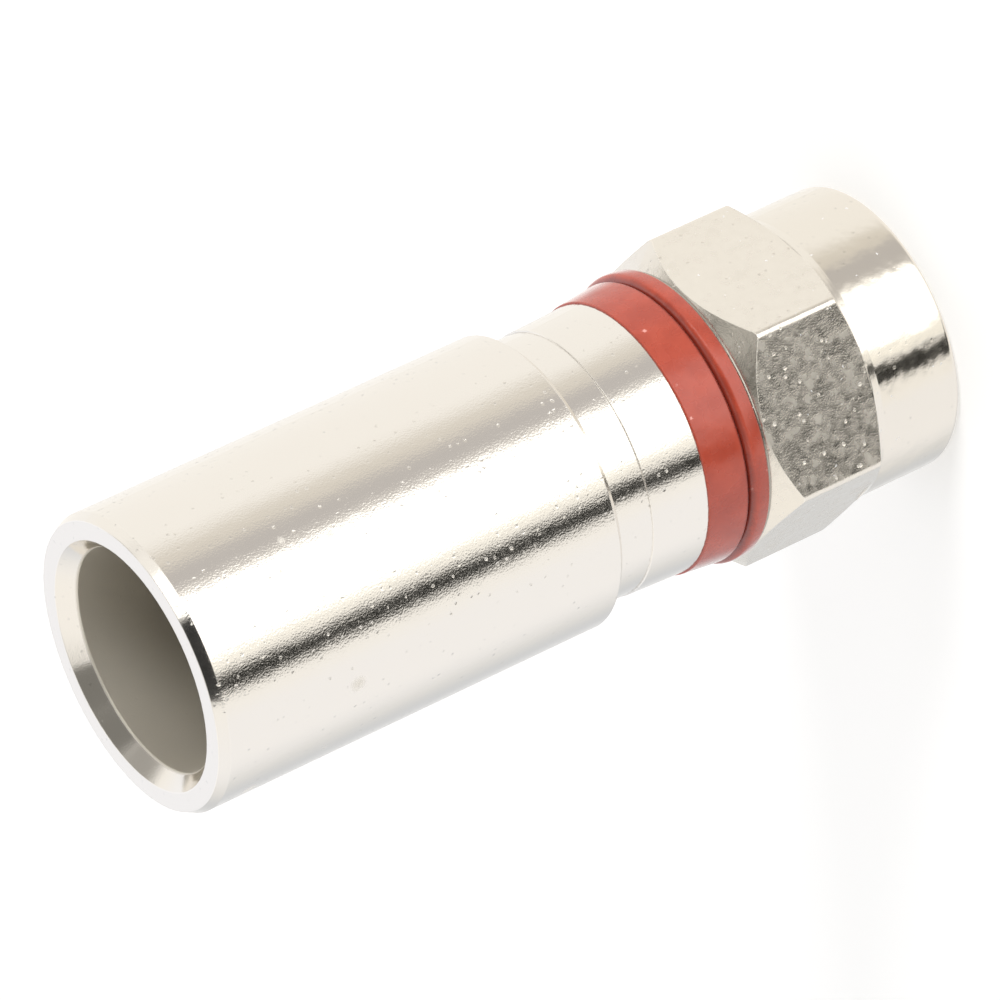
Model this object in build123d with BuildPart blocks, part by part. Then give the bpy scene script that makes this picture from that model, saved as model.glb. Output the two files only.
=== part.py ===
"""Compression F connector for coaxial cable, standing on the mouth of its coupling nut.

All sizes are in millimetres. The origin is the centre of the nut's mouth, and +Z runs along the
connector towards the end that the cable enters. Two corners of the hexagon lie on the X axis.
The radii are built up from the thread: inwards to the post, then outwards to the sleeve.
"""
import os
from math import cos, radians, tan

from build123d import *

# Clearances
running_clearance = 0.04
axial_clearance = 0.05

# Thread of the port that the nut screws on
thread_major_diameter = 9.53
thread_depth = 0.385
mouth_chamfer = 0.15

# Coupling nut
nut_length = 8.63
nut_web = 1.5
flat_wall = 0.785
hex_corner_round = 0.3
hex_length = 3.36
front_bevel_angle = 31
back_bevel_angle = 44
nose_inset = 0.03
nose_round = 0.25
root_flare = 0.08
root_flare_length = 0.35
rim_inset = 0.07
rim_length = 0.09
rim_chamfer = 0.04

# Inner post
flange_clearance = 0.13
flange_length = 1.2
flange_height = 0.8
journal_step = 0.25
press_step = 0.45
press_length = 4.7
tube_wall = 0.35
barb_height = 0.3
barb_length = 1.4
barb_count = 2
tip_wall = 0.15
tail_setback = 6.0

# Red seal behind the nut, and the red band behind the seal
seal_length = 0.74
seal_thickness = 1.22
seal_front_chamfer = 0.05
seal_back_chamfer = 0.17
band_gap = 0.02
band_length = 1.67
band_thickness = 1.07
band_taper = 0.17
band_front_chamfer = 0.17
band_back_chamfer = 0.05

# Connector body
cable_space = 0.8
chamber_cone_length = 0.9
groove_wall = 0.55
groove_depth = 0.69
groove_setback = 1.5
groove_width = 1.1
guide_length = 4.18
back_chamfer = 0.25
shoulder_height = 0.84
taper_length = 2.37
taper_drop = 0.1
neck_step = 0.05

# Seal between the body and the sleeve
sleeve_seal_chamfer = 0.2

# Compression sleeve
sleeve_travel = 3.6
sleeve_overlap = 0.4
closed_gap = 0.37
end_gap = 0.3
sleeve_wall = 0.4
sleeve_front_chamfer = 0.22
grip_seat_step = 0.33
closing_cone_height = 0.685
closing_cone_angle = 35
entry_bore_length = 5.0
entry_cone_length = 0.64
entry_cone_height = 0.5
end_chamfer_length = 0.39
end_chamfer_height = 0.195

# Gripping ring, which the sleeve's cone closes on the cable jacket
grip_length = 2.1
grip_wall = 0.67
grip_chamfer = 0.25
slot_count = 6
slot_width = 0.45
slot_depth = 1.3

# Radii of the nut, then of the post towards its bore
thread_radius = thread_major_diameter / 2
flat_radius = thread_radius + flat_wall
corner_radius = flat_radius / cos(radians(30))
nose_radius = flat_radius - nose_inset
root_radius = nose_radius + root_flare
rim_radius = flat_radius - rim_inset
tap_radius = thread_radius - thread_depth
flange_radius = tap_radius - flange_clearance
journal_radius = flange_radius - flange_height
nut_bore_radius = journal_radius + running_clearance
press_radius = journal_radius - journal_step
tube_radius = press_radius - press_step
dielectric_radius = tube_radius - tube_wall
barb_radius = tube_radius + barb_height
tip_radius = dielectric_radius + tip_wall

# Radii of the body, then of what goes round it
chamber_radius = press_radius + cable_space
groove_radius = chamber_radius + groove_wall
guide_radius = groove_radius + groove_depth
taper_back_radius = guide_radius - taper_drop
neck_radius = taper_back_radius - neck_step
seat_radius = guide_radius - shoulder_height
seal_radius = seat_radius + seal_thickness
band_front_radius = seat_radius + band_thickness
band_back_radius = band_front_radius - band_taper
sleeve_bore_radius = guide_radius + running_clearance
sleeve_radius = sleeve_bore_radius + sleeve_wall
end_radius = sleeve_radius - end_chamfer_height
grip_seat_radius = sleeve_bore_radius - grip_seat_step
grip_bore_radius = grip_seat_radius - grip_wall
entry_radius = grip_seat_radius - closing_cone_height
entry_cone_radius = entry_radius + entry_cone_height

# Places along the nut and the post's flange
rim_front = nut_length - rim_length
hex_back = rim_front - (corner_radius - rim_radius) * tan(radians(back_bevel_angle))
hex_front = hex_back - hex_length
nose_back = hex_front - (corner_radius - root_radius) * tan(radians(front_bevel_angle))
tap_end = nut_length - nut_web
flange_back = tap_end - axial_clearance
flange_front = flange_back - flange_length
thread_end = flange_front - axial_clearance

# Places along the body and the sleeve
body_front = nut_length + axial_clearance
press_end = body_front + press_length
band_front = body_front + seal_length + band_gap
band_back = band_front + band_length
taper_back = band_back + taper_length
sleeve_front = band_back + closed_gap + sleeve_travel
guide_front = sleeve_front + sleeve_overlap
groove_front = guide_front + groove_setback
groove_back = groove_front + groove_width
body_back = guide_front + guide_length
grip_front = body_back + sleeve_travel + end_gap
grip_back = grip_front + grip_length
entry_front = grip_back + closing_cone_height / tan(radians(closing_cone_angle))
entry_back = entry_front + entry_bore_length
sleeve_back = entry_back + entry_cone_length
post_tail = sleeve_back - tail_setback

os.makedirs("parts", exist_ok=True)


def save(piece, name):
    """Name a finished piece and write its file."""
    piece.part.label = name
    export_step(piece.part, f"parts/{name}.step")


# Turned outline that bevels the hexagon: a cone towards the nose and a cone towards the rim
with BuildPart() as bevel:
    with BuildSketch(Plane.XZ):
        with BuildLine():
            Polyline(
                (0, nose_back),
                (root_radius, nose_back),
                (corner_radius, hex_front),
                (corner_radius, hex_back),
                (rim_radius, rim_front),
                (0, rim_front),
                close=True,
            )
        make_face()
    revolve(axis=Axis.Z)

# Coupling nut: bar hexagon with a turned nose in front, a turned rim behind and a bored inside
with BuildPart() as coupling_nut:
    with BuildSketch(Plane.XY.offset(nose_back)) as bar:
        RegularPolygon(corner_radius, 6)
        fillet(bar.vertices(), hex_corner_round)
    extrude(amount=rim_front - nose_back)
    add(bevel.part, mode=Mode.INTERSECT)
    with BuildSketch(Plane.XZ):
        with BuildLine():
            Polyline(
                (0, 0),
                (nose_radius, 0),
                (nose_radius, nose_back - root_flare_length),
                (root_radius, nose_back),
                (0, nose_back),
                close=True,
            )
        make_face()
    revolve(axis=Axis.Z)
    with BuildSketch(Plane.XY.offset(rim_front)):
        Circle(rim_radius)
    extrude(amount=rim_length)
    fillet(coupling_nut.edges().group_by(Axis.Z)[0], nose_round)
    chamfer(coupling_nut.edges().group_by(Axis.Z)[-1], rim_chamfer)
    with BuildSketch(Plane.XZ):
        with BuildLine():
            Polyline(
                (0, 0),
                (thread_radius + mouth_chamfer, 0),
                (thread_radius, mouth_chamfer),
                (thread_radius, thread_end),
                (tap_radius, thread_end),
                (tap_radius, tap_end),
                (nut_bore_radius, tap_end),
                (nut_bore_radius, nut_length),
                (0, nut_length),
                close=True,
            )
        make_face()
    revolve(axis=Axis.Z, mode=Mode.SUBTRACT)
save(coupling_nut, "coupling_nut")

# Inner post: flange and journal that carry the nut, press-fit length, thin tube and barbed tail
barb_outline = [(dielectric_radius, post_tail), (tip_radius, post_tail)]
for barb in range(barb_count):
    crest = post_tail - (barb + 1) * barb_length
    barb_outline.append((barb_radius, crest))
    barb_outline.append((tube_radius, crest))
with BuildPart() as inner_post:
    with BuildSketch(Plane.XZ):
        with BuildLine():
            Polyline(
                *barb_outline,
                (tube_radius, press_end),
                (press_radius, press_end),
                (press_radius, body_front),
                (journal_radius, body_front),
                (journal_radius, flange_back),
                (flange_radius, flange_back),
                (flange_radius, flange_front),
                (dielectric_radius, flange_front),
                close=True,
            )
        make_face()
    revolve(axis=Axis.Z)
save(inner_post, "inner_post")

# Red seal: ring between the nut and the band, bevelled towards the band
with BuildPart() as nut_seal_ring:
    with BuildSketch(Plane.XY.offset(body_front)):
        Circle(seal_radius)
        Circle(seat_radius, mode=Mode.SUBTRACT)
    extrude(amount=seal_length)
    outer_edges = nut_seal_ring.edges().filter_by(GeomType.CIRCLE).sort_by(SortBy.RADIUS)[-2:]
    chamfer(outer_edges.sort_by(Axis.Z)[0], seal_front_chamfer)
    back_edge = nut_seal_ring.edges().group_by(Axis.Z)[-1].sort_by(SortBy.RADIUS)[-1]
    chamfer(back_edge, seal_back_chamfer)
save(nut_seal_ring, "nut_seal_ring")

# Red band: slightly conical ring against the body's shoulder
with BuildPart() as colour_band:
    with BuildSketch(Plane.XZ) as band_profile:
        with BuildLine():
            Polyline(
                (seat_radius, band_front),
                (band_front_radius, band_front),
                (band_back_radius, band_back),
                (seat_radius, band_back),
                close=True,
            )
        make_face()
        chamfer(band_profile.vertices().sort_by(Axis.X)[-1], band_front_chamfer)
        back_corners = band_profile.vertices().group_by(Axis.Y)[-1]
        chamfer(back_corners.sort_by(Axis.X)[-1], band_back_chamfer)
    revolve(axis=Axis.Z)
save(colour_band, "colour_band")

# Connector body: ring seat, tapered shoulder, neck, grooved guide for the sleeve, and the
# chamber that takes the cable jacket
with BuildPart() as connector_body:
    with BuildSketch(Plane.XZ):
        with BuildLine():
            Polyline(
                (press_radius, body_front),
                (seat_radius, body_front),
                (seat_radius, band_back),
                (guide_radius, band_back),
                (taper_back_radius, taper_back),
                (neck_radius, taper_back),
                (neck_radius, guide_front),
                (guide_radius, guide_front),
                (guide_radius, groove_front),
                (groove_radius, groove_front),
                (groove_radius, groove_back),
                (guide_radius, groove_back),
                (guide_radius, body_back),
                (chamber_radius, body_back),
                (chamber_radius, press_end + chamber_cone_length),
                (press_radius, press_end),
                close=True,
            )
        make_face()
    revolve(axis=Axis.Z)
    chamfer(connector_body.edges().group_by(Axis.Z)[-1], back_chamfer)
save(connector_body, "connector_body")

# Seal in the body's groove, clear of the groove's sides and running in the sleeve's bore
with BuildPart() as sleeve_seal_ring:
    with BuildSketch(Plane.XY.offset(groove_front + axial_clearance / 2)):
        Circle(sleeve_bore_radius - running_clearance / 2)
        Circle(groove_radius, mode=Mode.SUBTRACT)
    extrude(amount=groove_width - axial_clearance)
    outer_edges = sleeve_seal_ring.edges().filter_by(GeomType.CIRCLE).sort_by(SortBy.RADIUS)[-2:]
    chamfer(outer_edges, sleeve_seal_chamfer)
save(sleeve_seal_ring, "sleeve_seal_ring")

# Compression sleeve: guide bore in front, seat for the gripping ring, closing cone, cable entry
with BuildPart() as compression_sleeve:
    with BuildSketch(Plane.XZ) as sleeve_profile:
        with BuildLine():
            Polyline(
                (sleeve_bore_radius, sleeve_front),
                (sleeve_radius, sleeve_front),
                (sleeve_radius, sleeve_back - end_chamfer_length),
                (end_radius, sleeve_back),
                (entry_cone_radius, sleeve_back),
                (entry_radius, entry_back),
                (entry_radius, entry_front),
                (grip_seat_radius, grip_back),
                (grip_seat_radius, grip_front),
                (sleeve_bore_radius, grip_front),
                close=True,
            )
        make_face()
        front_corners = sleeve_profile.vertices().group_by(Axis.Y)[0]
        chamfer(front_corners.sort_by(Axis.X)[-1], sleeve_front_chamfer)
    revolve(axis=Axis.Z)
save(compression_sleeve, "compression_sleeve")

# Gripping ring: pressed in the sleeve, slotted from the back so that the cone can close it
with BuildPart() as gripping_ring:
    with BuildSketch(Plane.XY.offset(grip_front)):
        Circle(grip_seat_radius)
        Circle(grip_bore_radius, mode=Mode.SUBTRACT)
    extrude(amount=grip_length)
    back_edges = gripping_ring.edges().group_by(Axis.Z)[-1]
    chamfer(back_edges.sort_by(SortBy.RADIUS)[-1], grip_chamfer)
    with BuildSketch(Plane.XY.offset(grip_back)):
        with PolarLocations(grip_seat_radius, slot_count):
            Rectangle(grip_seat_radius, slot_width)
    extrude(amount=-slot_depth, mode=Mode.SUBTRACT)
save(gripping_ring, "gripping_ring")
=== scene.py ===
# Looks of the compression F connector: nickel plating, red seals, the nut's thread, light and camera.
from math import cos, pi, radians, sin
import bpy
from mathutils import Matrix, Vector


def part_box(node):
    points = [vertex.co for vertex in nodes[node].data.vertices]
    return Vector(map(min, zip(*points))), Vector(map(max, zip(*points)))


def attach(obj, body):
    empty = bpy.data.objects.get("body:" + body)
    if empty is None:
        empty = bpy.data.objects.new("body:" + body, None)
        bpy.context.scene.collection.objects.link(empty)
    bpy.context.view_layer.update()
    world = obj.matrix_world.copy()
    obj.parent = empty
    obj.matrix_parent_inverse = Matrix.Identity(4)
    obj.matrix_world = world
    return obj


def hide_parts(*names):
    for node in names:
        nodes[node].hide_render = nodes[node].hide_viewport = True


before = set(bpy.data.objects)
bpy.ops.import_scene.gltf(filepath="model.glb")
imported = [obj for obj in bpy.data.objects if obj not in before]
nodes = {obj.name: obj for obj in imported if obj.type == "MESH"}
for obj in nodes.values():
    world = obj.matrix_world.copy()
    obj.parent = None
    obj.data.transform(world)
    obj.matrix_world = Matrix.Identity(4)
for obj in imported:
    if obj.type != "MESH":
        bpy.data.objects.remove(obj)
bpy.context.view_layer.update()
scene = bpy.context.scene
scene.view_settings.view_transform = "Standard"
mm = 0.001
print("frame loaded:", sorted(nodes))


# Small helpers for building node trees

def addNode(tree, kind, **settings):
    node = tree.nodes.new(kind)
    for name, value in settings.items():
        setattr(node, name, value)
    return node


def feed(tree, source, target):
    # source is an output socket, or a plain value for the input socket
    if isinstance(source, bpy.types.NodeSocket):
        tree.links.new(source, target)
    else:
        target.default_value = source


def calc(tree, operation, first, second=0.0, third=None, clamp=False):
    node = addNode(tree, "ShaderNodeMath", operation=operation, use_clamp=clamp)
    feed(tree, first, node.inputs[0])
    feed(tree, second, node.inputs[1])
    if third is not None:
        feed(tree, third, node.inputs[2])
    return node.outputs[0]


def remap(tree, value, low, high, toLow=0.0, toHigh=1.0, smooth=False):
    node = addNode(tree, "ShaderNodeMapRange", clamp=True)
    if smooth:
        node.interpolation_type = "SMOOTHSTEP"
    feed(tree, value, node.inputs["Value"])
    for name, number in (("From Min", low), ("From Max", high), ("To Min", toLow), ("To Max", toHigh)):
        feed(tree, number, node.inputs[name])
    return node.outputs["Result"]


def blendColour(tree, factor, first, second):
    node = addNode(tree, "ShaderNodeMix", data_type="RGBA")
    feed(tree, factor, node.inputs["Factor"])
    feed(tree, first, node.inputs["A"])
    feed(tree, second, node.inputs["B"])
    return node.outputs["Result"]


def colour(values):
    return (*values, 1.0)


# Effects that several finishes share

def newGroup(name, inputs, outputs):
    group = bpy.data.node_groups.new(name, "ShaderNodeTree")
    for label, value in inputs.items():
        socket = group.interface.new_socket(label, in_out="INPUT", socket_type="NodeSocketFloat")
        socket.default_value = value
    for label, kind in outputs.items():
        group.interface.new_socket(label, in_out="OUTPUT", socket_type=kind)
    start = addNode(group, "NodeGroupInput")
    end = addNode(group, "NodeGroupOutput")
    return group, start, end


def makePittedPlating():
    # uneven plating: fine grain, coarser mottle, scattered ragged pits, slow waviness and turning marks
    group, start, end = newGroup(
        "pittedPlating",
        {"Grain Size": 0.09, "Grain Depth": 0.5, "Mottle Size": 0.25, "Mottle Depth": 0.5, "Stretch": 1.0,
         "Pit Size": 0.4, "Pit Depth": 0.5, "Waviness": 0.3, "Turning": 0.0},
        {"Height": "NodeSocketFloat", "Pits": "NodeSocketFloat", "Mottle": "NodeSocketFloat",
         "Tone": "NodeSocketFloat"},
    )
    given = start.outputs
    place = addNode(group, "ShaderNodeTexCoord").outputs["Object"]
    squeeze = addNode(group, "ShaderNodeCombineXYZ")
    squeeze.inputs["X"].default_value = 1.0
    squeeze.inputs["Y"].default_value = 1.0
    feed(group, calc(group, "DIVIDE", 1.0, given["Stretch"]), squeeze.inputs["Z"])
    drawn = addNode(group, "ShaderNodeVectorMath", operation="MULTIPLY")
    feed(group, place, drawn.inputs[0])
    feed(group, squeeze.outputs[0], drawn.inputs[1])
    noises = {}
    for name, where, detail in (("Grain", place, 2.0), ("Mottle", drawn.outputs[0], 1.5)):
        noise = addNode(group, "ShaderNodeTexNoise")
        noise.inputs["Detail"].default_value = detail
        feed(group, where, noise.inputs["Vector"])
        feed(group, calc(group, "DIVIDE", 1.0 / mm, given[name + " Size"]), noise.inputs["Scale"])
        noises[name] = noise
    ragged = addNode(group, "ShaderNodeVectorMath", operation="SCALE")
    feed(group, noises["Grain"].outputs["Color"], ragged.inputs[0])
    feed(group, 0.12 * mm, ragged.inputs["Scale"])
    shaken = addNode(group, "ShaderNodeVectorMath", operation="ADD")
    feed(group, place, shaken.inputs[0])
    feed(group, ragged.outputs[0], shaken.inputs[1])
    pit = addNode(group, "ShaderNodeTexVoronoi", feature="F1")
    feed(group, shaken.outputs[0], pit.inputs["Vector"])
    feed(group, calc(group, "DIVIDE", 1.0 / mm, given["Pit Size"]), pit.inputs["Scale"])
    split = addNode(group, "ShaderNodeSeparateColor")
    feed(group, pit.outputs["Color"], split.inputs["Color"])
    keep = remap(group, split.outputs["Red"], 0.5, 0.85)
    hollow = remap(group, pit.outputs["Distance"], 0.03, 0.26, 1.0, 0.0, smooth=True)
    pits = calc(group, "MULTIPLY", hollow, keep)
    wave = addNode(group, "ShaderNodeTexNoise")
    wave.inputs["Scale"].default_value = 900.0
    wave.inputs["Detail"].default_value = 2.0
    feed(group, place, wave.inputs["Vector"])
    height = calc(group, "MULTIPLY", noises["Grain"].outputs["Fac"], given["Grain Depth"])
    height = calc(group, "MULTIPLY_ADD", noises["Mottle"].outputs["Fac"], given["Mottle Depth"], height)
    height = calc(group, "MULTIPLY_ADD", wave.outputs["Fac"], given["Waviness"], height)
    alongAxis = addNode(group, "ShaderNodeSeparateXYZ")
    feed(group, place, alongAxis.inputs[0])
    rings = addNode(group, "ShaderNodeTexNoise", noise_dimensions="1D")
    rings.inputs["Scale"].default_value = 7.0 / mm
    rings.inputs["Detail"].default_value = 2.0
    feed(group, alongAxis.outputs["Z"], rings.inputs["W"])
    height = calc(group, "MULTIPLY_ADD", rings.outputs["Fac"], given["Turning"], height)
    drop = calc(group, "MULTIPLY", pits, given["Pit Depth"])
    feed(group, calc(group, "SUBTRACT", height, drop), end.inputs["Height"])
    feed(group, pits, end.inputs["Pits"])
    feed(group, noises["Mottle"].outputs["Fac"], end.inputs["Mottle"])
    feed(group, wave.outputs["Fac"], end.inputs["Tone"])
    return group


def makeSoftEdge():
    # rounded normal along sharp edges, and a mask of those edges
    group, start, end = newGroup(
        "softEdge", {"Radius": 0.04}, {"Normal": "NodeSocketVector", "Edge": "NodeSocketFloat"}
    )
    bevel = addNode(group, "ShaderNodeBevel", samples=6)
    feed(group, calc(group, "MULTIPLY", start.outputs["Radius"], mm), bevel.inputs["Radius"])
    plain = addNode(group, "ShaderNodeNewGeometry").outputs["Normal"]
    turn = addNode(group, "ShaderNodeVectorMath", operation="DOT_PRODUCT")
    feed(group, bevel.outputs["Normal"], turn.inputs[0])
    feed(group, plain, turn.inputs[1])
    feed(group, bevel.outputs["Normal"], end.inputs["Normal"])
    feed(group, remap(group, turn.outputs["Value"], 0.995, 0.9), end.inputs["Edge"])
    return group


def makeDust():
    # small ragged specks that lie on a surface, of uneven size
    group, start, end = newGroup(
        "dustSpecks", {"Spacing": 0.6, "Speck Size": 0.16, "Share": 0.3, "Raggedness": 0.08},
        {"Mask": "NodeSocketFloat"}
    )
    place = addNode(group, "ShaderNodeTexCoord").outputs["Object"]
    shake = addNode(group, "ShaderNodeTexNoise")
    shake.inputs["Scale"].default_value = 12.0 / mm
    feed(group, place, shake.inputs["Vector"])
    centred = addNode(group, "ShaderNodeVectorMath", operation="SUBTRACT")
    feed(group, shake.outputs["Color"], centred.inputs[0])
    feed(group, (0.5, 0.5, 0.5), centred.inputs[1])
    shift = addNode(group, "ShaderNodeVectorMath", operation="SCALE")
    feed(group, centred.outputs[0], shift.inputs[0])
    feed(group, calc(group, "MULTIPLY", start.outputs["Raggedness"], 2 * mm), shift.inputs["Scale"])
    moved = addNode(group, "ShaderNodeVectorMath", operation="ADD")
    feed(group, place, moved.inputs[0])
    feed(group, shift.outputs[0], moved.inputs[1])
    cells = addNode(group, "ShaderNodeTexVoronoi", feature="F1")
    feed(group, moved.outputs[0], cells.inputs["Vector"])
    feed(group, calc(group, "DIVIDE", 1.0 / mm, start.outputs["Spacing"]), cells.inputs["Scale"])
    split = addNode(group, "ShaderNodeSeparateColor")
    feed(group, cells.outputs["Color"], split.inputs["Color"])
    size = calc(group, "MULTIPLY", start.outputs["Speck Size"], remap(group, split.outputs["Green"], 0.0, 1.0, 0.5, 1.2))
    speck = remap(group, cells.outputs["Distance"], calc(group, "MULTIPLY", size, 0.5), size, 1.0, 0.0)
    chosen = calc(group, "LESS_THAN", split.outputs["Red"], start.outputs["Share"])
    feed(group, calc(group, "MULTIPLY", speck, chosen), end.inputs["Mask"])
    return group


pittedPlating = makePittedPlating()
softEdge = makeSoftEdge()
dustSpecks = makeDust()


def placeGroup(tree, group, **values):
    node = addNode(tree, "ShaderNodeGroup", node_tree=group)
    for name, value in values.items():
        feed(tree, value, node.inputs[name])
    return node


def newMaterial(name):
    material = bpy.data.materials.new(name)
    material.use_nodes = True
    tree = material.node_tree
    return material, tree, tree.nodes["Principled BSDF"]


# Nickel plating. One recipe, with its own numbers for each piece. The sleeve's bore is left dull, and its darker colour
# is partly painted shade.

nickelFinish = {
    "nutNickel": {
        "colour": (0.82, 0.77, 0.69), "worn": (0.92, 0.87, 0.79), "roughness": 0.235, "edge": 0.06,
        "grainSize": 0.07, "grainDepth": 0.45, "mottleSize": 0.34, "mottleDepth": 0.55, "stretch": 1.0,
        "pitSize": 0.35, "pitDepth": 1.0, "waviness": 0.6, "turning": 0.0, "bump": 0.012,
        "speckSpacing": 0.36, "speckSize": 0.14, "speckShare": 0.3, "speckTone": (0.80, 0.80, 0.78),
        "noseEnd": 3.8, "noseGrain": 0.12, "noseMottle": 0.25, "noseWaviness": 2.8, "noseRoughness": 0.14,
        "patches": 0.3, "rimStart": 8.52, "rimRadius": 5.3, "rimShadeTone": (0.42, 0.39, 0.34),
    },
    "bodyNickel": {
        "colour": (0.84, 0.80, 0.74), "worn": (0.92, 0.88, 0.82), "roughness": 0.125, "edge": 0.08,
        "grainSize": 0.07, "grainDepth": 0.8, "mottleSize": 0.28, "mottleDepth": 0.4, "stretch": 1.0,
        "pitSize": 0.32, "pitDepth": 1.2, "waviness": 1.3, "turning": 0.1, "bump": 0.006,
        "speckSpacing": 2.2, "speckSize": 0.13, "speckShare": 0.35, "speckTone": (0.78, 0.73, 0.66),
    },
    "sleeveNickel": {
        "colour": (0.84, 0.80, 0.74), "worn": (0.92, 0.88, 0.82), "roughness": 0.115, "edge": 0.06,
        "grainSize": 0.07, "grainDepth": 0.8, "mottleSize": 0.28, "mottleDepth": 0.4, "stretch": 1.0,
        "pitSize": 0.32, "pitDepth": 1.4, "waviness": 1.3, "turning": 0.1, "bump": 0.007,
        "speckSpacing": 2.6, "speckSize": 0.13, "speckShare": 0.35, "speckTone": (0.80, 0.755, 0.685),
        "boreRadius": 4.31, "boreDullShadeColour": (0.69, 0.65, 0.57), "boreRoughness": 0.42, "boreMetal": 0.72,
        "outerRadius": 5.68, "innerSmooth": 0.7,
    },
    "postNickel": {
        "colour": (0.78, 0.74, 0.67), "worn": (0.88, 0.84, 0.77), "roughness": 0.2, "edge": 0.04,
        "grainSize": 0.10, "grainDepth": 0.5, "mottleSize": 0.3, "mottleDepth": 0.3, "stretch": 1.0,
        "pitSize": 0.6, "pitDepth": 0.4, "waviness": 0.6, "turning": 0.1, "bump": 0.004,
        "speckSpacing": 1.6, "speckSize": 0.08, "speckShare": 0.2, "speckTone": (0.6, 0.55, 0.46),
    },
}


def splitPlace(tree):
    split = addNode(tree, "ShaderNodeSeparateXYZ")
    feed(tree, addNode(tree, "ShaderNodeTexCoord").outputs["Object"], split.inputs[0])
    return split.outputs


def fromAxis(tree):
    place = splitPlace(tree)
    square = calc(tree, "MULTIPLY", place["X"], place["X"])
    return calc(tree, "SQRT", calc(tree, "MULTIPLY_ADD", place["Y"], place["Y"], square))


def boreMask(tree, settings):
    # 1 inside the sleeve's bore, and 0 outside it
    edge = settings["boreRadius"] * mm
    return remap(tree, fromAxis(tree), edge - 0.02 * mm, edge + 0.02 * mm, 1.0, 0.0)


def innerMask(tree, settings):
    # 1 on the sleeve's ends and inside it, and 0 on its outer wall
    wall = settings["outerRadius"] * mm
    return remap(tree, fromAxis(tree), wall - 0.08 * mm, wall - 0.02 * mm, 1.0, 0.0)


def rimMask(tree, settings):
    # 1 on the narrow rim at the nut's back, under the seal, where shade is painted
    line, edge = settings["rimStart"] * mm, settings["rimRadius"] * mm
    above = remap(tree, splitPlace(tree)["Z"], line - 0.01 * mm, line + 0.01 * mm)
    return calc(tree, "MULTIPLY", above, calc(tree, "GREATER_THAN", fromAxis(tree), edge))


def makeNickel(name, finish):
    material, tree, shader = newMaterial(name)
    plating = placeGroup(tree, pittedPlating, **{
        "Grain Size": finish["grainSize"], "Grain Depth": finish["grainDepth"], "Mottle Size": finish["mottleSize"],
        "Mottle Depth": finish["mottleDepth"], "Stretch": finish["stretch"], "Pit Size": finish["pitSize"],
        "Pit Depth": finish["pitDepth"], "Waviness": finish["waviness"], "Turning": finish["turning"]})
    edges = placeGroup(tree, softEdge, Radius=finish["edge"])
    tone = blendColour(tree, edges.outputs["Edge"], colour(finish["colour"]), colour(finish["worn"]))
    dull = colour([0.9 * part for part in finish["colour"]])
    tone = blendColour(tree, plating.outputs["Pits"], tone, dull)
    specks = placeGroup(tree, dustSpecks, **{
        "Spacing": finish["speckSpacing"], "Speck Size": finish["speckSize"], "Share": finish["speckShare"]})
    speck = specks.outputs["Mask"]
    if "outerRadius" in finish:
        outer = remap(tree, innerMask(tree, finish), 0.0, 1.0, 1.0, 0.0)
        speck = calc(tree, "MULTIPLY", speck, outer)
    metal = remap(tree, speck, 0.0, 1.0, 1.0, 0.0)
    rough = finish["roughness"]
    height = plating.outputs["Height"]
    if "noseEnd" in finish:
        line = finish["noseEnd"] * mm
        above = remap(tree, splitPlace(tree)["Z"], line, line + 0.1 * mm)
        spread = finish["patches"] * rough
        milled = remap(tree, plating.outputs["Mottle"], 0.25, 0.75, rough - spread, rough + spread)
        turned = placeGroup(tree, pittedPlating, **{
            "Grain Size": finish["grainSize"], "Grain Depth": finish["noseGrain"], "Mottle Size": finish["mottleSize"],
            "Mottle Depth": finish["noseMottle"], "Pit Size": finish["pitSize"], "Pit Depth": 0.3,
            "Waviness": finish["noseWaviness"], "Turning": 0.1}).outputs["Height"]
        rough = remap(tree, above, 0.0, 1.0, finish["noseRoughness"], milled)
        height = remap(tree, above, 0.0, 1.0, turned, height)
        # painted shade: the rim under the seal is darkened
        tone = blendColour(tree, rimMask(tree, finish), tone, colour(finish["rimShadeTone"]))
    tone = blendColour(tree, speck, tone, colour(finish["speckTone"]))
    uneven = calc(tree, "MULTIPLY", remap(tree, plating.outputs["Tone"], 0.3, 0.7, 0.85, 1.15), rough)
    uneven = calc(tree, "MULTIPLY_ADD", plating.outputs["Pits"], 0.08, uneven)
    if "boreRadius" in finish:
        bore = boreMask(tree, finish)
        # inside the bore the finish is duller, and the darker colour is partly painted shade
        tone = blendColour(tree, bore, tone, colour(finish["boreDullShadeColour"]))
        level = 0.5 * (finish["grainDepth"] + finish["mottleDepth"] + finish["waviness"] + finish["turning"])
        smooth = calc(tree, "MULTIPLY", innerMask(tree, finish), finish["innerSmooth"])
        height = remap(tree, smooth, 0.0, 1.0, height, level)
        change = calc(tree, "SUBTRACT", finish["boreRoughness"], uneven)
        uneven = calc(tree, "MULTIPLY_ADD", bore, change, uneven)
        metal = calc(tree, "MULTIPLY", metal, remap(tree, bore, 0.0, 1.0, 1.0, finish["boreMetal"]))
    feed(tree, metal, shader.inputs["Metallic"])
    feed(tree, tone, shader.inputs["Base Color"])
    feed(tree, uneven, shader.inputs["Roughness"])
    bump = addNode(tree, "ShaderNodeBump")
    bump.inputs["Distance"].default_value = finish["bump"] * mm
    bump.inputs["Strength"].default_value = 1.0
    feed(tree, height, bump.inputs["Height"])
    feed(tree, edges.outputs["Normal"], bump.inputs["Normal"])
    feed(tree, bump.outputs["Normal"], shader.inputs["Normal"])
    return material


nickel = {name: makeNickel(name, finish) for name, finish in nickelFinish.items()}
print("nickel finishes:", list(nickel))


# Red seal and band, the white gripping ring and the black sleeve seal

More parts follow.
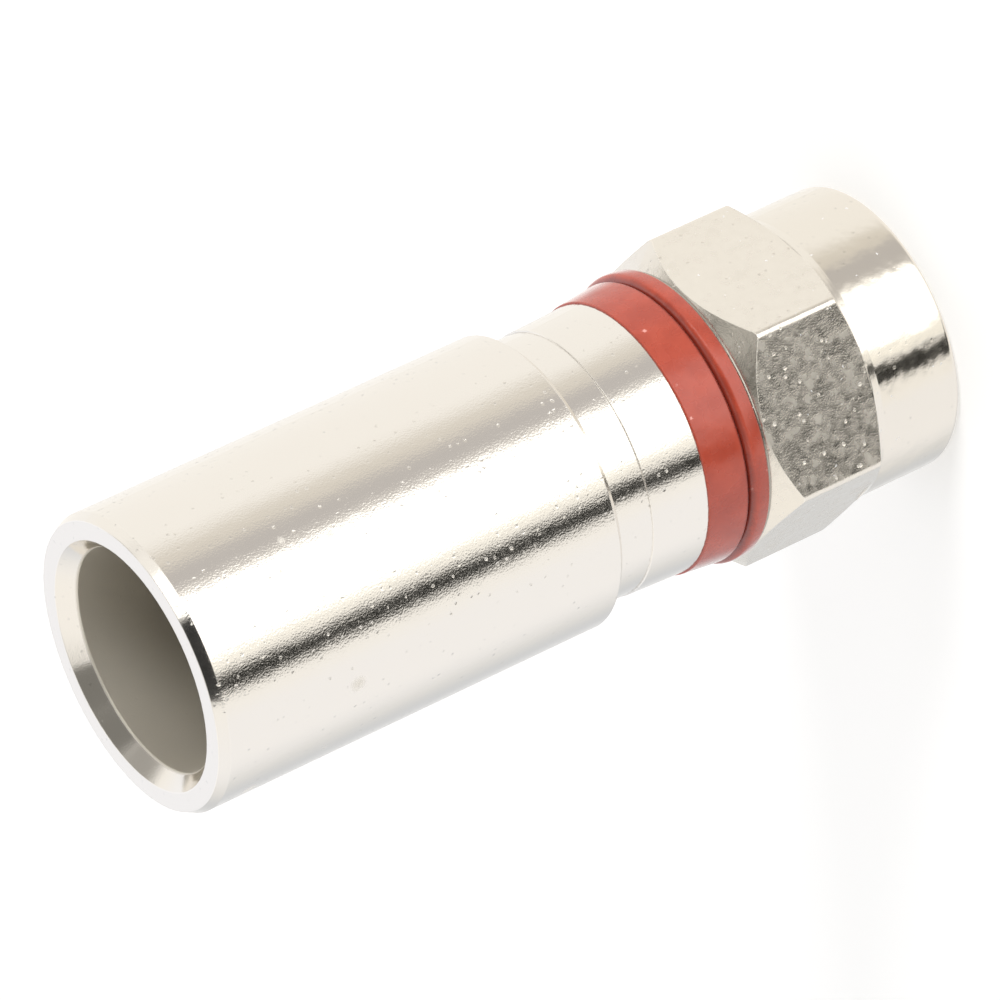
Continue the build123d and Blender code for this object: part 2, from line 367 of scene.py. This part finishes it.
plasticFinish = {
    "redBand": {"colour": (0.45, 0.058, 0.025), "deep": (0.38, 0.042, 0.016), "dusty": (0.80, 0.36, 0.31),
                "roughness": 0.27, "gloss": 0.8, "sheen": 0.08, "grazing": 0.8, "groove": 9.42, "edge": 0.03, "grainSize": 0.1, "grainDepth": 0.3,
                "mottleSize": 0.5, "mottleDepth": 1.0, "waviness": 3.0, "bump": 0.008,
                "speckSpacing": 0.6, "speckSize": 0.15, "speckShare": 0.22},
    "redSeal": {"colour": (0.45, 0.058, 0.025), "deep": (0.38, 0.042, 0.016), "dusty": (0.80, 0.36, 0.31),
                "roughness": 0.27, "gloss": 0.8, "sheen": 0.08, "grazing": 0.8, "groove": 9.42, "edge": 0.03, "grainSize": 0.1, "grainDepth": 0.3,
                "mottleSize": 0.5, "mottleDepth": 1.0, "waviness": 3.0, "bump": 0.008,
                "speckSpacing": 0.55, "speckSize": 0.16, "speckShare": 0.24},
    "whiteGrip": {"colour": (0.80, 0.79, 0.75), "deep": (0.76, 0.75, 0.71), "dusty": (0.86, 0.85, 0.82),
                  "roughness": 0.45, "gloss": 0.5, "sheen": 0.0, "grazing": 0.0, "edge": 0.05, "grainSize": 0.2, "grainDepth": 0.5,
                  "mottleSize": 0.5, "mottleDepth": 0.5, "waviness": 1.0, "bump": 0.003,
                  "speckSpacing": 1.0, "speckSize": 0.1, "speckShare": 0.1},
    "blackSeal": {"colour": (0.03, 0.03, 0.03), "deep": (0.02, 0.02, 0.02), "dusty": (0.2, 0.2, 0.2),
                  "roughness": 0.5, "gloss": 0.5, "sheen": 0.0, "grazing": 0.0, "edge": 0.1, "grainSize": 0.2, "grainDepth": 0.5,
                  "mottleSize": 0.5, "mottleDepth": 0.5, "waviness": 1.0, "bump": 0.003,
                  "speckSpacing": 0.8, "speckSize": 0.1, "speckShare": 0.2},
}


def makePlastic(name, finish):
    material, tree, shader = newMaterial(name)
    surface = placeGroup(tree, pittedPlating, **{
        "Grain Size": finish["grainSize"], "Grain Depth": finish["grainDepth"], "Mottle Size": finish["mottleSize"],
        "Mottle Depth": finish["mottleDepth"], "Pit Size": 0.6, "Pit Depth": 0.3, "Waviness": finish["waviness"]})
    dust = placeGroup(tree, dustSpecks, **{
        "Spacing": finish["speckSpacing"], "Speck Size": finish["speckSize"], "Share": finish["speckShare"]})
    uneven = blendColour(tree, remap(tree, surface.outputs["Tone"], 0.35, 0.65), colour(finish["deep"]),
                         colour(finish["colour"]))
    uneven = blendColour(tree, dust.outputs["Mask"], uneven, colour(finish["dusty"]))
    if finish["grazing"]:
        # painted sheen: the colour turns pale towards grazing angles, standing in for reflection
        facing = addNode(tree, "ShaderNodeLayerWeight").outputs["Facing"]
        grazingSheen = remap(tree, facing, 0.70, 1.0, 0.0, finish["grazing"], smooth=True)
        uneven = blendColour(tree, grazingSheen, uneven, colour((0.9, 0.86, 0.84)))
    if "groove" in finish:
        # painted shade in the valley between the seal and the band, with a ragged edge
        across = calc(tree, "SUBTRACT", splitPlace(tree)["Z"], finish["groove"] * mm)
        away = calc(tree, "MULTIPLY_ADD", surface.outputs["Mottle"], -0.16 * mm, calc(tree, "ABSOLUTE", across))
        valleyShade = remap(tree, away, -0.05 * mm, 0.14 * mm, 0.85, 0.0, smooth=True)
        uneven = blendColour(tree, valleyShade, uneven, colour((0.20, 0.020, 0.010)))
    feed(tree, uneven, shader.inputs["Base Color"])
    feed(tree, remap(tree, surface.outputs["Mottle"], 0.3, 0.7, finish["roughness"] * 0.85,
                     finish["roughness"] * 1.15), shader.inputs["Roughness"])
    shader.inputs["Specular IOR Level"].default_value = finish["gloss"]
    shader.inputs["Sheen Weight"].default_value = finish["sheen"]
    shader.inputs["Sheen Roughness"].default_value = 0.4
    edges = placeGroup(tree, softEdge, Radius=finish["edge"])
    bump = addNode(tree, "ShaderNodeBump")
    bump.inputs["Distance"].default_value = finish["bump"] * mm
    feed(tree, calc(tree, "ADD", surface.outputs["Height"], dust.outputs["Mask"]), bump.inputs["Height"])
    feed(tree, edges.outputs["Normal"], bump.inputs["Normal"])
    feed(tree, bump.outputs["Normal"], shader.inputs["Normal"])
    return material


plastics = {name: makePlastic(name, finish) for name, finish in plasticFinish.items()}
print("plastic finishes:", list(plastics))

finishOf = {
    "coupling_nut": nickel["nutNickel"],
    "inner_post": nickel["postNickel"],
    "connector_body": nickel["bodyNickel"],
    "compression_sleeve": nickel["sleeveNickel"],
    "colour_band": plastics["redBand"],
    "nut_seal_ring": plastics["redSeal"],
    "sleeve_seal_ring": plastics["blackSeal"],
    "gripping_ring": plastics["whiteGrip"],
}
for name, material in finishOf.items():
    for slot in nodes[name].material_slots:
        slot.material = material


# Red rings with moulded round edges, in place of the bevelled solids. The outlines are (radius, height).

mouldedRings = {"steps": 180, "roundPoints": 7, "valleyPoints": 10, "edgeRound": 0.07, "sealFlank": 0.30, "bandFlank": 0.16,
                "sealCrest": 0.01, "sealDrop": 0.30, "bandDrop": 0.16, "gap": 0.01}


def arcPoints(centre, radius, first, last, count):
    angles = [radians(first + (last - first) * step / (count - 1)) for step in range(count)]
    return [(centre[0] + radius * cos(angle), centre[1] + radius * sin(angle)) for angle in angles]


def roundDrop(share):
    # 0 at the crest, where it is level, and 1 at the bottom of the valley, where it is steep
    return 1 - cos(0.5 * pi * share) ** 0.7


def latheRing(name, outline, finish, steps):
    # turns a closed outline, listed so that the faces point outwards
    spots = [(r * mm * cos(2 * pi * turn / steps), r * mm * sin(2 * pi * turn / steps), z * mm)
             for turn in range(steps) for r, z in outline]
    count = len(outline)
    faces = []
    for turn in range(steps):
        here, there = turn * count, (turn + 1) % steps * count
        for point in range(count):
            follow = (point + 1) % count
            faces.append((here + point, there + point, there + follow, here + follow))
    mesh = bpy.data.meshes.new(name)
    mesh.from_pydata(spots, [], faces)
    mesh.shade_smooth()
    mesh.set_sharp_from_angle(angle=radians(40))
    mesh.materials.append(finish)
    ring = bpy.data.objects.new(name, mesh)
    scene.collection.objects.link(ring)
    return ring


def boxSpan(node):
    # inner radius isn't in the box: only the outer radius and the two ends are
    low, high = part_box(node)
    return high[0] / mm, low[2] / mm, high[2] / mm


def addRings(settings):
    seat = 4.4
    crest, sealFront, sealBack = boxSpan("nut_seal_ring")
    bandRadius, bandFront, bandBack = boxSpan("colour_band")
    crest += settings["sealCrest"]
    edge, points = settings["edgeRound"], settings["valleyPoints"]
    outline = [(seat + 0.02, sealFront), (crest - edge - 0.02, sealFront)]
    outline += arcPoints((crest - edge - 0.01, sealFront + edge), edge, -90, -10, settings["roundPoints"])
    outline.append((crest, sealFront + 0.45 * (sealBack - sealFront)))
    for point in range(points):
        share = (point + 1) / points
        outline.append((crest - settings["sealDrop"] * roundDrop(share), sealBack - settings["sealFlank"] * (1 - share)))
    outline.append((seat + 0.02, sealBack))
    seal = latheRing("mouldedSeal", outline, plastics["redSeal"], settings["steps"])
    bandRadius += 0.02
    slope = -0.17 / (bandBack - bandFront)
    start = bandFront - settings["gap"]
    outline = [(seat + 0.02, start)]
    for point in range(points):
        share = point / (points - 1)
        height = start + settings["bandFlank"] * share
        level = bandRadius + slope * (height - bandFront)
        outline.append((level - settings["bandDrop"] * roundDrop(1 - share), height))
    last = bandRadius + slope * (bandBack - bandFront)
    outline += arcPoints((last - 0.05, bandBack - 0.05), 0.05, 0, 90, settings["roundPoints"])
    outline.append((seat + 0.02, bandBack))
    band = latheRing("mouldedBand", outline, plastics["redBand"], settings["steps"])
    return seal, band


mouldedSeal, mouldedBand = addRings(mouldedRings)
for ring, node, slotName in ((mouldedSeal, "nut_seal_ring", "red_rubber"), (mouldedBand, "colour_band", "red_plastic")):
    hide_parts(node)
    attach(ring, "connector")
print("rings moulded")


# Thread in the nut: a ridge that winds up the bore, with a run-out at each end

nutThread = {"rootRadius": 4.79, "crestRadius": 4.38, "pitch": 0.79375, "start": 0.55, "turns": 6.1,
             "crestFlat": 0.1, "stepsPerTurn": 72, "runOut": 0.06}


def addThread(settings):
    tree = bpy.data.node_groups.new("windThread", "GeometryNodeTree")
    for label, value in (("Root Radius", settings["rootRadius"] * mm), ("Pitch", settings["pitch"] * mm),
                         ("Depth", (settings["rootRadius"] - settings["crestRadius"]) * mm),
                         ("Crest Flat", settings["crestFlat"] * mm), ("Turns", settings["turns"]),
                         ("Start", settings["start"] * mm), ("Run-out", settings["runOut"])):
        socket = tree.interface.new_socket(label, in_out="INPUT", socket_type="NodeSocketFloat")
        socket.default_value = value
    tree.interface.new_socket("Steps", in_out="INPUT", socket_type="NodeSocketInt").default_value = 72
    tree.interface.new_socket("Finish", in_out="INPUT", socket_type="NodeSocketMaterial")
    tree.interface.new_socket("Geometry", in_out="OUTPUT", socket_type="NodeSocketGeometry")
    start = addNode(tree, "NodeGroupInput")
    end = addNode(tree, "NodeGroupOutput")
    given = start.outputs

    line = addNode(tree, "GeometryNodeCurvePrimitiveLine")
    line.inputs["End"].default_value = (0.0, 0.0, 1.0)
    count = addNode(tree, "GeometryNodeResampleCurve", mode="COUNT")
    feed(tree, line.outputs[0], count.inputs["Curve"])
    feed(tree, calc(tree, "MULTIPLY", given["Steps"], given["Turns"]), count.inputs["Count"])
    along = addNode(tree, "GeometryNodeSplineParameter").outputs["Factor"]
    angle = calc(tree, "MULTIPLY", calc(tree, "MULTIPLY", along, given["Turns"]), 2 * pi)
    climb = calc(tree, "MULTIPLY_ADD", calc(tree, "MULTIPLY", along, given["Turns"]), given["Pitch"], given["Start"])
    point = addNode(tree, "ShaderNodeCombineXYZ")
    feed(tree, calc(tree, "MULTIPLY", calc(tree, "COSINE", angle), given["Root Radius"]), point.inputs[0])
    feed(tree, calc(tree, "MULTIPLY", calc(tree, "SINE", angle), given["Root Radius"]), point.inputs[1])
    feed(tree, climb, point.inputs[2])
    wind = addNode(tree, "GeometryNodeSetPosition")
    feed(tree, count.outputs["Curve"], wind.inputs["Geometry"])
    feed(tree, point.outputs[0], wind.inputs["Position"])
    upright = addNode(tree, "GeometryNodeSetCurveNormal", mode="Z_UP")
    feed(tree, wind.outputs[0], upright.inputs[0])

    # the ridge's section: a flat crest between two flanks, wide at the root
    corners = []
    for side, depth in ((1, 0), (1, 1), (-1, 1), (-1, 0)):
        corner = addNode(tree, "ShaderNodeCombineXYZ")
        half = given["Crest Flat"] if depth else given["Pitch"]
        feed(tree, calc(tree, "MULTIPLY", half, side * 0.5 * (1.0 if depth else 0.94)), corner.inputs[1])
        feed(tree, calc(tree, "MULTIPLY", given["Depth"], float(-depth)), corner.inputs[0])
        corners.append(corner.outputs[0])
    section = addNode(tree, "GeometryNodeCurvePrimitiveQuadrilateral", mode="POINTS")
    for corner, label in zip(corners, ("Point 1", "Point 2", "Point 3", "Point 4")):
        feed(tree, corner, section.inputs[label])

    fromEnd = calc(tree, "MINIMUM", along, calc(tree, "SUBTRACT", 1.0, along))
    fade = addNode(tree, "ShaderNodeMapRange")
    feed(tree, fromEnd, fade.inputs["Value"])
    feed(tree, given["Run-out"], fade.inputs["From Max"])
    fade.inputs["To Min"].default_value = 0.02
    sweep = addNode(tree, "GeometryNodeCurveToMesh")
    feed(tree, upright.outputs[0], sweep.inputs["Curve"])
    feed(tree, section.outputs[0], sweep.inputs["Profile Curve"])
    sweep.inputs["Fill Caps"].default_value = True
    if "Scale" in sweep.inputs:
        feed(tree, fade.outputs["Result"], sweep.inputs["Scale"])
    solid = addNode(tree, "GeometryNodeRealizeInstances")
    feed(tree, sweep.outputs[0], solid.inputs[0])
    paint = addNode(tree, "GeometryNodeSetMaterial")
    feed(tree, solid.outputs[0], paint.inputs["Geometry"])
    feed(tree, given["Finish"], paint.inputs["Material"])
    feed(tree, paint.outputs[0], end.inputs["Geometry"])

    holder = bpy.data.objects.new("threadHolder", bpy.data.meshes.new("threadHolder"))
    scene.collection.objects.link(holder)
    modifier = holder.modifiers.new("windThread", "NODES")
    modifier.node_group = tree
    sockets = {item.name: item.identifier for item in tree.interface.items_tree if item.in_out == "INPUT"}
    modifier[sockets["Steps"]] = settings["stepsPerTurn"]
    modifier[sockets["Finish"]] = nickel["nutNickel"]
    bpy.context.view_layer.update()
    ready = holder.evaluated_get(bpy.context.evaluated_depsgraph_get())
    mesh = bpy.data.meshes.new_from_object(ready)
    bpy.data.objects.remove(holder)
    thread = bpy.data.objects.new("nutThread", mesh)
    scene.collection.objects.link(thread)
    if not mesh.materials:
        mesh.materials.append(nickel["nutNickel"])
    return thread


nutThreadPiece = addThread(nutThread)
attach(nutThreadPiece, "nut")
low = min(v.co.z for v in nutThreadPiece.data.vertices)
high = max(v.co.z for v in nutThreadPiece.data.vertices)
print("thread wound:", len(nutThreadPiece.data.polygons), "faces from", round(low / mm, 2), "to", round(high / mm, 2))


# Light: a pale room with a tall soft lamp, a narrow dark gap beside it and a few grey cards.
# Each panel is centred at a bearing and a height in degrees, with half sizes and a soft border.

room = {
    "wall": (1.0, 0.985, 0.955), "strength": 1.08,
    "panels": [
        {"name": "lowWall", "bearing": -165, "height": -24, "wide": 32, "tall": 44, "soft": 16, "tone": (0.985, 0.985, 1.0)},
        {"name": "coolWall", "bearing": 107, "height": 30, "wide": 45, "tall": 30, "soft": 30, "tone": (0.98, 1.0, 1.06)},
        {"name": "farWall", "bearing": 140, "height": -22, "wide": 22, "tall": 34, "soft": 50, "tone": (0.66, 0.68, 0.71)},
        {"name": "warmCard", "bearing": -20, "height": -20, "wide": 18, "tall": 34, "soft": 20, "tone": (0.76, 0.725, 0.665)},
        {"name": "greyCard", "bearing": -29, "height": -20, "wide": 10, "tall": 34, "soft": 9, "tone": (0.57, 0.55, 0.54)},
        {"name": "lamp", "bearing": -70, "height": -24, "wide": 26, "tall": 44, "soft": 6, "tone": (1.8, 1.8, 1.78)},
        {"name": "lampEdge", "bearing": -95, "height": -24, "wide": 5, "tall": 44, "soft": 5, "tone": (1.04, 1.02, 0.95)},
        {"name": "upperLamp", "bearing": -37, "height": 27, "wide": 18, "tall": 9, "soft": 5, "tone": (1.7, 1.7, 1.66)},
        {"name": "overhead", "bearing": -85, "height": 66, "wide": 78, "tall": 13, "soft": 14, "tone": (0.34, 0.33, 0.31)},
        {"name": "topCard", "bearing": -44, "height": 49, "wide": 52, "tall": 12, "soft": 8, "tone": (0.21, 0.205, 0.19)},
        {"name": "sideCard", "bearing": 24, "height": 34, "wide": 20, "tall": 12, "soft": 16, "tone": (0.38, 0.37, 0.35)},
        {"name": "warmTop", "bearing": -28, "height": 62, "wide": 16, "tall": 7, "soft": 10, "tone": (0.55, 0.54, 0.51)},
        {"name": "darkTop", "bearing": -70, "height": 65, "wide": 14, "tall": 7, "soft": 10, "tone": (0.08, 0.08, 0.07)},
        {"name": "frontCard", "bearing": -89.5, "height": 29, "wide": 33, "tall": 8, "soft": 5, "tone": (0.03, 0.03, 0.03)},
        {"name": "darkGap", "bearing": -111.5, "height": -24, "wide": 7.2, "tall": 42, "soft": 6, "tone": (0.02, 0.02, 0.018)},
    ],
}


def makeRoom(settings):
    world = bpy.data.worlds.new("paleRoom")
    world.use_nodes = True
    tree = world.node_tree
    shader = tree.nodes["Background"]
    direction = addNode(tree, "ShaderNodeTexCoord").outputs["Generated"]
    split = addNode(tree, "ShaderNodeSeparateXYZ")
    feed(tree, direction, split.inputs[0])
    height = calc(tree, "ARCSINE", split.outputs["Z"])
    light = colour(settings["wall"])
    for panel in settings["panels"]:
        turn = addNode(tree, "ShaderNodeVectorRotate", rotation_type="Z_AXIS")
        feed(tree, direction, turn.inputs["Vector"])
        feed(tree, radians(-panel["bearing"]), turn.inputs["Angle"])
        flat = addNode(tree, "ShaderNodeSeparateXYZ")
        feed(tree, turn.outputs["Vector"], flat.inputs[0])
        bearing = calc(tree, "ABSOLUTE", calc(tree, "ARCTAN2", flat.outputs["Y"], flat.outputs["X"]))
        rise = calc(tree, "ABSOLUTE", calc(tree, "SUBTRACT", height, radians(panel["height"])))
        half = radians(panel["soft"]) / 2
        across = remap(tree, bearing, radians(panel["wide"]) - half, radians(panel["wide"]) + half, 1.0, 0.0, smooth=True)
        upward = remap(tree, rise, radians(panel["tall"]) - half, radians(panel["tall"]) + half, 1.0, 0.0, smooth=True)
        light = blendColour(tree, calc(tree, "MULTIPLY", across, upward), light, colour(panel["tone"]))
    path = addNode(tree, "ShaderNodeLightPath")
    seen = blendColour(tree, path.outputs["Is Camera Ray"], light, colour((1.0, 1.0, 1.0)))
    feed(tree, seen, shader.inputs["Color"])
    shader.inputs["Strength"].default_value = settings["strength"]
    scene.world = world


makeRoom(room)

lamps = {
    "keyLamp": {"place": (0.24, -0.12, 0.14), "size": 0.10, "power": 0.42},
    "fillLamp": {"place": (-0.18, -0.05, 0.16), "size": 0.16, "power": 0.04},
}
for name, settings in lamps.items():
    lampData = bpy.data.lights.new(name, "AREA")
    lampData.size = settings["size"]
    lampData.energy = settings["power"]
    lamp = bpy.data.objects.new(name, lampData)
    lamp.location = settings["place"]
    lamp.rotation_euler = (Vector((0, 0, 0.016)) - lamp.location).to_track_quat("-Z", "Y").to_euler()
    lamp.visible_glossy = False
    scene.collection.objects.link(lamp)


# Floor: pale, white to the camera, with the connector's soft shadow on it

floorLook = {"size": 1.2, "colour": (0.86, 0.86, 0.86), "cameraGlow": 0.22}


def addFloor(settings):
    half = settings["size"]
    mesh = bpy.data.meshes.new("floor")
    mesh.from_pydata([(-half, -half, 0), (half, -half, 0), (half, half, 0), (-half, half, 0)], [], [(0, 1, 2, 3)])
    floor = bpy.data.objects.new("floor", mesh)
    scene.collection.objects.link(floor)
    material, tree, shader = newMaterial("paleFloor")
    shader.inputs["Base Color"].default_value = colour(settings["colour"])
    shader.inputs["Roughness"].default_value = 0.9
    shader.inputs["Specular IOR Level"].default_value = 0.0
    shader.inputs["Emission Color"].default_value = (1.0, 1.0, 1.0, 1.0)
    path = addNode(tree, "ShaderNodeLightPath")
    glow = calc(tree, "MULTIPLY", path.outputs["Is Camera Ray"], settings["cameraGlow"])
    feed(tree, glow, shader.inputs["Emission Strength"])
    mesh.materials.append(material)
    floor.visible_glossy = False


addFloor(floorLook)
print("room, lamps and floor set")


# Camera at the photograph's viewing angle

view = {
    "place": (79.047, -246.83, 144.819), "right": (-0.277, -0.5116, -0.8133),
    "up": (0.921, 0.0998, -0.3765), "back": (0.2738, -0.8534, 0.4436), "lens": 292.54, "sensor": 36.0,
}
cameraData = bpy.data.cameras.new("camera")
cameraData.lens = view["lens"]
cameraData.sensor_width = view["sensor"]
cameraData.sensor_fit = "HORIZONTAL"
cameraData.clip_start = 0.01
cameraData.clip_end = 10.0
camera = bpy.data.objects.new("camera", cameraData)
turned = Matrix((view["right"], view["up"], view["back"])).transposed().to_quaternion().to_matrix().to_4x4()
turned.translation = Vector(view["place"]) * mm
camera.matrix_world = turned
scene.collection.objects.link(camera)
scene.camera = camera
print("camera set")
